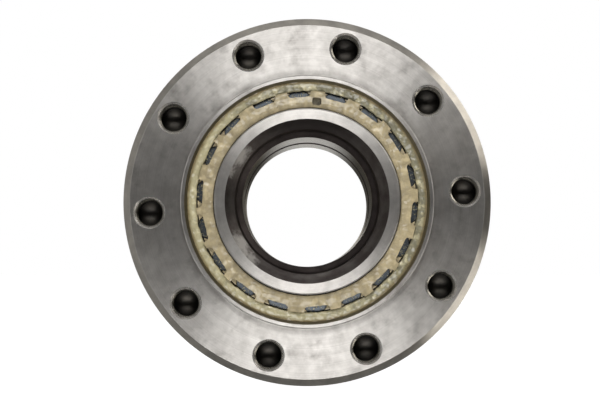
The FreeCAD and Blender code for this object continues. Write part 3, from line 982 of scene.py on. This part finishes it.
class HUB_OT_flanged_ring(bpy.types.Operator):
    """Turn the flanged outer ring and cut its ten tapped holes"""

    bl_idname = "hub.flanged_ring"
    bl_label = "Flanged outer ring"

    def execute(self, context):
        ring = context.scene.hub_flange
        holes = context.scene.hub_holes
        piece = turned("flanged_ring", [
            (collar_face, ring.mouth + ring.mouth_chamfer),
            (collar_face, ring.collar - ring.collar_edge),
            (collar_face + ring.collar_edge, ring.collar),
            (ring.face, ring.collar, ring.collar_foot),
            (ring.face, flange_reach - ring.chamfer_height),
            (ring.face + ring.chamfer_depth, flange_reach),
            (ring.back - ring.back_chamfer, flange_reach),
            (ring.back, flange_reach - ring.back_chamfer),
            (ring.back, ring.barrel, ring.fillet),
            (ring.tone_shoulder, ring.barrel),
            (ring.tone_shoulder, ring.tone_seat),
            (rear_face - ring.edge, ring.tone_seat),
            (rear_face, ring.tone_seat - ring.edge),
            (rear_face, ring.seal_seat + ring.edge),
            (rear_face - ring.edge, ring.seal_seat),
            (ring.seal_floor, ring.seal_seat),
            (ring.seal_floor, ring.raceway_mouth),
            (ring.land_rear, ring.land),
            (ring.land_front, ring.land),
            (ring.mouth_floor, ring.raceway_mouth),
            (ring.mouth_floor, ring.mouth),
            (collar_face + ring.mouth_chamfer, ring.mouth),
        ], rounding=ring.rounding)
        tool = hole_tool(holes, ring.face)
        tools = []
        for index in range(holes.count):
            copy = copied(tool, f"hole_tool_{index}")
            tools.append(at_hole(copy, holes, index))
        cut_out(piece, tools)
        bpy.data.objects.remove(tool)
        smooth(piece)
        settle(piece, materials["turned"], "outer_ring", "turned_steel", "flanged_outer_ring")
        rim = flange_reach - ring.chamfer_height
        # Reach of the painted highlight on the collar's edge
        worn = ring.collar_edge + HAIR
        wall_start = ring.face + 1.1 * MM
        second_finish(piece, materials["rim"], lambda spot, radius: (
            radius > rim + 2 * HAIR or spot.y > ring.back + 2 * HAIR
        ))
        # Painted highlight on the collar's outer chamfer and on the edge of the rim chamfer
        second_finish(piece, materials["edge"], lambda spot, radius: (
            ring.collar - worn < radius and spot.y < collar_face + worn
            or abs(radius - rim) < 6 * HAIR and spot.y < ring.face + 6 * HAIR
        ))
        # Painted shade with an oily tint on the collar's mouth chamfer and wall
        second_finish(piece, materials["oiled"], lambda spot, radius: (
            radius < ring.mouth + ring.mouth_chamfer - 2 * HAIR
            and spot.y < ring.mouth_floor + 0.5 * MM
        ))
        # Painted highlight: paler, smoother steel on the countersinks
        second_finish(piece, materials["sink"], lambda spot, radius: (
            ring.face + HAIR < spot.y < ring.face + 1.5 * MM
            and off_hole(holes, spot) < holes.sink
        ))
        # Painted shade: the near-black colour on the walls and points of the tapped holes, behind the
        # threads
        second_finish(piece, materials["drilled"], lambda spot, radius: (
            wall_start < spot.y < ring.back - 1 * MM
            and off_hole(holes, spot) < holes.root + 2 * HAIR
        ))
        return {"FINISHED"}


def off_hole(holes, spot):
    """Distance from the axis of the nearest tapped hole."""
    around = math.atan2(spot.z, spot.x) - holes.first
    apart = 2 * math.pi / holes.count
    angle = holes.first + round(around / apart) * apart
    middle = (math.cos(angle) * holes.circle, math.sin(angle) * holes.circle)
    return math.dist((spot.x, spot.z), middle)


def at_hole(piece, holes, index):
    """Moves a piece made on the bearing axis to one of the tapped holes."""
    angle = hole_angle(holes, index)
    place = (math.cos(angle) * holes.circle, 0, math.sin(angle) * holes.circle)
    return moved(piece, place)


class HUB_OT_bolt_threads(bpy.types.Operator):
    """Cut the helical thread of each tapped hole"""

    bl_idname = "hub.bolt_threads"
    bl_label = "Threads"

    def execute(self, context):
        ring = context.scene.hub_flange
        holes = context.scene.hub_holes
        top = ring.face + (holes.sink - holes.root) + 2 * HAIR
        turns = int((ring.face + holes.thread - top) / holes.pitch) - 1
        wide, narrow = holes.pitch * holes.foot, holes.pitch * holes.crest
        base, crest = holes.root + HAIR, holes.drill
        middle = top + wide
        ridge = draw_outline("bolt_thread", [
            Vector((middle - wide, base)), Vector((middle - narrow, crest)),
            Vector((middle + narrow, crest)), Vector((middle + wide, base)),
        ])
        bpy.ops.object.mode_set(mode="OBJECT")
        apply_modifier(
            ridge, "SCREW", axis="Y", angle=2 * math.pi, steps=32, render_steps=32,
            screw_offset=holes.pitch, iterations=turns, use_merge_vertices=False,
            use_normal_calculate=True,
        )
        activate(ridge)
        bpy.ops.object.mode_set(mode="EDIT")
        bpy.ops.mesh.select_all(action="SELECT")
        bpy.ops.mesh.remove_doubles(threshold=WELD)
        bpy.ops.mesh.select_all(action="DESELECT")
        bpy.ops.mesh.select_mode(type="VERT")
        bpy.ops.mesh.select_non_manifold()
        bpy.ops.mesh.fill_holes(sides=0)
        bpy.ops.mesh.select_all(action="SELECT")
        bpy.ops.mesh.normals_make_consistent(inside=False)
        bpy.ops.object.mode_set(mode="OBJECT")
        activate(ridge)
        bpy.ops.object.shade_smooth_by_angle(angle=SMOOTH_ANGLE)
        for index in range(holes.count):
            copy = copied(ridge, f"bolt_thread_{index + 1:02d}")
            moved(copy, angle=index * holes.start)
            at_hole(copy, holes, index)
            settle(copy, materials["thread"], "outer_ring", "turned_steel")
        bpy.data.objects.remove(ridge)
        return {"FINISHED"}


class HUB_OT_grease(bpy.types.Operator):
    """Lay the grease over the outboard cage and round the mouth of the outer ring"""

    bl_idname = "hub.grease"
    bl_label = "Grease"

    def execute(self, context):
        grease = context.scene.hub_grease
        rollers = context.scene.hub_rollers
        chance = random.Random(grease.seed)
        face = grease.cage_face
        back = face + grease.skirt
        piece = turned("cage_grease", [
            (face - grease.depth * 0.7, grease.inside, 0.3 * MM),
            (face - grease.depth, grease.inside + 1.6 * MM, 1 * MM),
            (face - grease.depth * 1.2, (grease.inside + grease.outside) / 2, 2 * MM),
            (face - grease.depth * 0.6, grease.outside, 1 * MM),
            (face + 1.0 * MM, grease.outside + grease.bridge, 0.5 * MM),
            (back, grease.outside + grease.bridge, 0.3 * MM),
            (back, grease.outside + 0.1 * MM),
            (face + 0.05 * MM, grease.outside - 0.1 * MM),
            (face + 0.05 * MM, grease.inside + 0.4 * MM),
        ], sides=720, step=grease.facet)
        windows = []
        for place in range(rollers.count):
            wide = grease.window * chance.uniform(0.88, 1.18)
            angle = roller_angle(rollers, place) + chance.uniform(-0.025, 0.025)
            windows.append(self.window(grease, wide, angle))
        windows.append(self.notch(grease))
        cut_out(piece, windows)
        roughen(piece, "cage_lumps", grease.lumps, grease.lump_size)
        roughen(piece, "cage_ripples", grease.ripples, grease.ripple_size)
        piece = joined([piece, self.bed(grease, rollers)], "cage_grease")
        smooth(piece, ROUGH_ANGLE)
        settle(piece, materials["grease"], "outboard_cage", "cage_plastic")
        self.wall(context.scene.hub_flange, grease)
        return {"FINISHED"}

    def bed(self, grease, rollers):
        """Grease between the roller ends, deeper than the layer over the cage."""
        front = grease.cage_face + grease.bed_depth
        rear = front + 0.8 * MM
        inner = grease.outside - 0.9 * MM
        outer = grease.outside + grease.bridge - 0.9 * MM
        piece = turned("grease_bed", [
            (front, inner), (front, outer), (rear, outer), (rear, inner),
        ], sides=720, rounding=0.2 * MM, step=grease.facet)
        gap_radius = rollers.roller - 0.4 * MM
        start, finish = front - 5 * MM, front + 5 * MM
        disc = turned("roller_gap", [
            (start, 0), (start, gap_radius), (finish, gap_radius), (finish, 0),
        ], sides=48)
        gaps = []
        for place in range(rollers.count):
            gap = copied(disc, f"roller_gap_{place}")
            gaps.append(moved(gap, (roller_circle(rollers), 0, 0), roller_angle(rollers, place)))
        cut_out(piece, gaps)
        bpy.data.objects.remove(disc)
        roughen(piece, "bed_lumps", grease.bed_lumps, grease.lump_size)
        return piece

    def window(self, grease, wide, angle):
        """Block that leaves one roller end bare."""
        size = (grease.bridge * 2, grease.cut, wide)
        place = (grease.outside + grease.bridge, grease.cage_face, 0)
        return block("grease_window", size, place, angle)

    def notch(self, grease):
        """Block that leaves the tool notch of the cage bare."""
        size = (grease.notch_height, grease.cut, grease.notch_width)
        place = (grease.outside - grease.notch_height / 2, grease.cage_face, 0)
        return block("notch", size, place, grease.notch)

    def wall(self, ring, grease):
        inner = grease.wall_inside
        floor = ring.mouth_floor
        piece = turned("wall_grease", [
            (floor - 1.2 * MM, inner, 0.5 * MM),
            (floor - 1.9 * MM, inner + 1.2 * MM, 1.0 * MM),
            (floor - 2.1 * MM, inner + 3.2 * MM, 2.0 * MM),
            (floor - 2.6 * MM, inner + 4.8 * MM, 1.5 * MM),
            (floor - 3.4 * MM, ring.mouth + 0.15 * MM),
            (floor - 0.1 * MM, ring.mouth + 0.15 * MM),
            (floor + 0.1 * MM, ring.raceway_mouth),
            (floor - 0.4 * MM, inner + 0.8 * MM),
        ], sides=720, step=grease.facet)
        roughen(piece, "wall_lumps", grease.wall_lumps, grease.lump_size)
        roughen(piece, "wall_ripples", grease.wall_ripples, grease.wall_ripple_size)
        smooth(piece, ROUGH_ANGLE)
        settle(piece, materials["wall_grease"], "outer_ring", "turned_steel")


def cut_out(piece, tools):
    """Cuts tools out of a piece."""
    cutter = joined(tools, "cutter")
    apply_modifier(piece, "BOOLEAN", operation="DIFFERENCE", object=cutter, solver="MANIFOLD")
    bpy.data.objects.remove(cutter)


def block(name, size, place, angle):
    """A block with rounded edges, placed on the +X side and then turned about the bearing axis."""
    clear_selection()
    bpy.ops.mesh.primitive_cube_add(size=1)
    piece = bpy.context.object
    piece.name = name
    bpy.ops.object.mode_set(mode="EDIT")
    bpy.ops.mesh.select_all(action="SELECT")
    bpy.ops.transform.resize(value=size)
    bpy.ops.mesh.bevel(offset=min(size) * 0.3, segments=3)
    bpy.ops.transform.translate(value=place)
    bpy.ops.object.mode_set(mode="OBJECT")
    return moved(piece, angle=angle)


def roughen(piece, name, height, size):
    """Raises soft lumps on a piece."""
    lumps = bpy.data.textures.new(name, "CLOUDS")
    lumps.noise_scale = size
    lumps.noise_depth = 1
    apply_modifier(
        piece, "DISPLACE", texture=lumps, texture_coords="LOCAL", strength=height, mid_level=0.5
    )


class HUB_OT_rollers(bpy.types.Operator):
    """Finish the rollers and both cages"""

    bl_idname = "hub.rollers"
    bl_label = "Rollers and cages"

    def execute(self, context):
        dress([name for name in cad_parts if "_roller_" in name], materials["roller"])
        dress(["outboard_cage", "inboard_cage"], materials["cage"])
        return {"FINISHED"}


class HUB_OT_seal(bpy.types.Operator):
    """Press the seal's flinger and finish its case, lip and spring"""

    bl_idname = "hub.seal"
    bl_label = "Seal"

    def execute(self, context):
        seal = context.scene.hub_seal
        rollers = context.scene.hub_rollers
        seat = rollers.bore + rollers.wall + rollers.rib
        piece = turned("seal_cover", [
            (seal.face, seat, seal.bend),
            (seal.face, seal.rim),
            (seal.face - seal.sheet, seal.rim),
            (seal.face - seal.sheet, seat + seal.sheet, seal.inner_bend),
            (seal.face - seal.width, seat + seal.sheet),
            (seal.face - seal.width, seat),
        ], rounding=seal.edge)
        smooth(piece)
        settle(piece, materials["sheet"], "inner_ring_set", "sheet_steel", "seal_flinger")
        dress(["seal_case", "seal_spring"], materials["sheet"])
        dress(["seal_lip"], materials["rubber"])
        return {"FINISHED"}


class HUB_OT_tone_ring(bpy.types.Operator):
    """Finish the slotted tone ring"""

    bl_idname = "hub.tone_ring"
    bl_label = "Tone ring"

    def execute(self, context):
        dress(["tone_ring"], materials["tone"])
        return {"FINISHED"}


def studio_world():
    """White for the camera. For gloss a dim room, bright far behind the unit and less so aside."""
    world = bpy.data.worlds.new("studio")
    bpy.context.scene.world = world
    world.use_nodes = True
    nodes = Nodes(world.node_tree)
    background = world.node_tree.nodes["Background"]
    direction = nodes.add("TexCoord").outputs["Generated"]
    apart = nodes.add("SeparateXYZ", {"Vector": direction})
    aside = nodes.math("ABSOLUTE", apart.outputs["X"])
    across = nodes.math("ADD", aside, nodes.math("ABSOLUTE", apart.outputs["Z"]))
    dim = nodes.span(nodes.math("DIVIDE", aside, across), 0.3, 0.6, 1.5, 0.0)
    behind = nodes.math("MULTIPLY", nodes.span(apart.outputs["Y"], 0.93, 0.99), dim)
    rear = nodes.math("MULTIPLY", nodes.span(apart.outputs["Y"], 0.0, 0.4, 0.0, 0.3),
                      nodes.span(apart.outputs["Y"], 0.55, 0.85, 1.0, 0.0))
    behind = nodes.math("ADD", behind, rear)
    above = nodes.span(apart.outputs["Z"], 0.3, 0.95, 0.0, 0.35)
    left = nodes.span(apart.outputs["X"], -0.95, -0.4, 0.3, 0.0)
    room = nodes.math("ADD", nodes.math("MAXIMUM", behind, nodes.math("MAXIMUM", above, left)), 0.045)
    path = nodes.add("LightPath")
    soft = nodes.mix(path.outputs["Is Diffuse Ray"], room, 0.35)
    strength = nodes.mix(path.outputs["Is Camera Ray"], soft, 1.0)
    nodes.put(background.inputs["Strength"], strength)
    background.inputs["Color"].default_value = (1, 1, 1, 1)


def floor_material():
    material, nodes, shader, where = start_material("studio_floor", Roughness=0.9)
    shader.inputs["Base Color"].default_value = (0.8, 0.8, 0.8, 1)
    path = nodes.add("LightPath")
    seen = nodes.math("MAXIMUM", path.outputs["Is Camera Ray"], path.outputs["Is Glossy Ray"])
    glow = nodes.add("Emission", {"Color": (1, 1, 1, 1), "Strength": 1.5})
    mixed = nodes.add("MixShader")
    nodes.put(mixed.inputs[0], nodes.math("MULTIPLY", seen, 0.65))
    nodes.put(mixed.inputs[1], shader.outputs[0])
    nodes.put(mixed.inputs[2], glow.outputs[0])
    nodes.put(material.node_tree.nodes["Material Output"].inputs["Surface"], mixed.outputs[0])
    return material


def soft_box(name, place, size, brightness, colour=(1, 1, 1)):
    """A rectangular lamp that looks at the origin. White paper as bright as it has brightness 1."""
    clear_selection()
    bpy.ops.object.light_add(type="AREA", location=place)
    lamp = bpy.context.object
    lamp.name = name
    lamp.data.shape = "RECTANGLE"
    lamp.data.size, lamp.data.size_y = size
    lamp.data.energy = brightness * math.pi * size[0] * size[1]
    lamp.data.color = colour
    lamp.rotation_euler = (-Vector(place)).to_track_quat("-Z", "Y").to_euler()


def place_lamps():
    """Boxes above and below in front, warm strips at the right, and boxes behind."""
    box, strip, warm = (0.8, 0.45), (0.16, 0.7), (1.0, 0.97, 0.92)
    soft_box("top_box", place=(0, -1.1, 0.54), size=box, brightness=4.6)
    soft_box("bottom_box", place=(0, -1.1, -0.54), size=box, brightness=4.9)
    soft_box("right_upper_strip", place=(0.98, -0.41, 0.60), size=strip, brightness=5.5, colour=warm)
    soft_box("right_lower_strip", place=(1.0, -0.41, -0.57), size=strip, brightness=4.5, colour=warm)
    soft_box("rear_left_box", place=(-1.1, 1.2, 0.9), size=(1.2, 0.8), brightness=3.6)
    soft_box("rear_right_box", place=(1.2, 1.1, 0.3), size=(0.7, 1.0), brightness=2.0)


class HUB_OT_stage(bpy.types.Operator):
    """Lay the floor and set up the room, the lamps and the camera"""

    bl_idname = "hub.stage"
    bl_label = "Stage"

    def execute(self, context):
        studio = context.scene.hub_studio
        context.scene.view_settings.view_transform = "Standard"
        floor_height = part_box("flanged_outer_ring")[0].z
        clear_selection()
        bpy.ops.mesh.primitive_plane_add(size=studio.floor, location=(0, 0, floor_height))
        floor = bpy.context.object
        floor.name = "floor"
        bpy.ops.object.transform_apply()
        floor.data.materials.append(floor_material())
        floor.visible_glossy = False
        floor.visible_shadow = False
        studio_world()
        place_lamps()
        clear_selection()
        forward = Vector((0, math.cos(studio.tilt), math.sin(studio.tilt)))
        place = Vector((studio.aside, outboard_face, studio.raised)) - forward * studio.distance
        bpy.ops.object.camera_add(location=place, rotation=(math.pi / 2 + studio.tilt, 0, 0))
        camera = bpy.context.object
        camera.data.lens = studio.lens
        camera.data.sensor_width = studio.sensor
        camera.data.clip_start = 0.05
        context.scene.camera = camera
        return {"FINISHED"}


class HUB_PT_panel(bpy.types.Panel):
    """Steps that build the looks of the unit"""

    bl_idname = "HUB_PT_panel"
    bl_label = "Hub bearing"
    bl_space_type = "VIEW_3D"
    bl_region_type = "UI"
    bl_category = "Hub bearing"

    def draw(self, context):
        for step in steps:
            self.layout.operator(step.bl_idname)


groups = {
    "hub_rollers": HubRollerSizes,
    "hub_clamp": HubClampSizes,
    "hub_flange": HubFlangeSizes,
    "hub_holes": HubHoleSizes,
    "hub_seal": HubSealSizes,
    "hub_grease": HubGreaseSizes,
    "hub_finishes": HubFinishes,
    "hub_studio": HubStudio,
}
steps = (
    HUB_OT_stage,
    HUB_OT_flanged_ring,
    HUB_OT_bolt_threads,
    HUB_OT_inner_rings,
    HUB_OT_clamp_ring,
    HUB_OT_rollers,
    HUB_OT_grease,
    HUB_OT_seal,
    HUB_OT_tone_ring,
)
materials = {}


def register():
    for kind in (*groups.values(), *steps, HUB_PT_panel):
        bpy.utils.register_class(kind)
    for name, kind in groups.items():
        setattr(bpy.types.Scene, name, bpy.props.PointerProperty(type=kind))


def unregister():
    for name in groups:
        delattr(bpy.types.Scene, name)
    for kind in (HUB_PT_panel, *steps, *groups.values()):
        bpy.utils.unregister_class(kind)


def main():
    register()
    materials.update(make_materials(bpy.context.scene.hub_finishes))
    for step in steps:
        group, name = step.bl_idname.split(".")
        getattr(getattr(bpy.ops, group), name)()


if __name__ == "__main__":
    main()
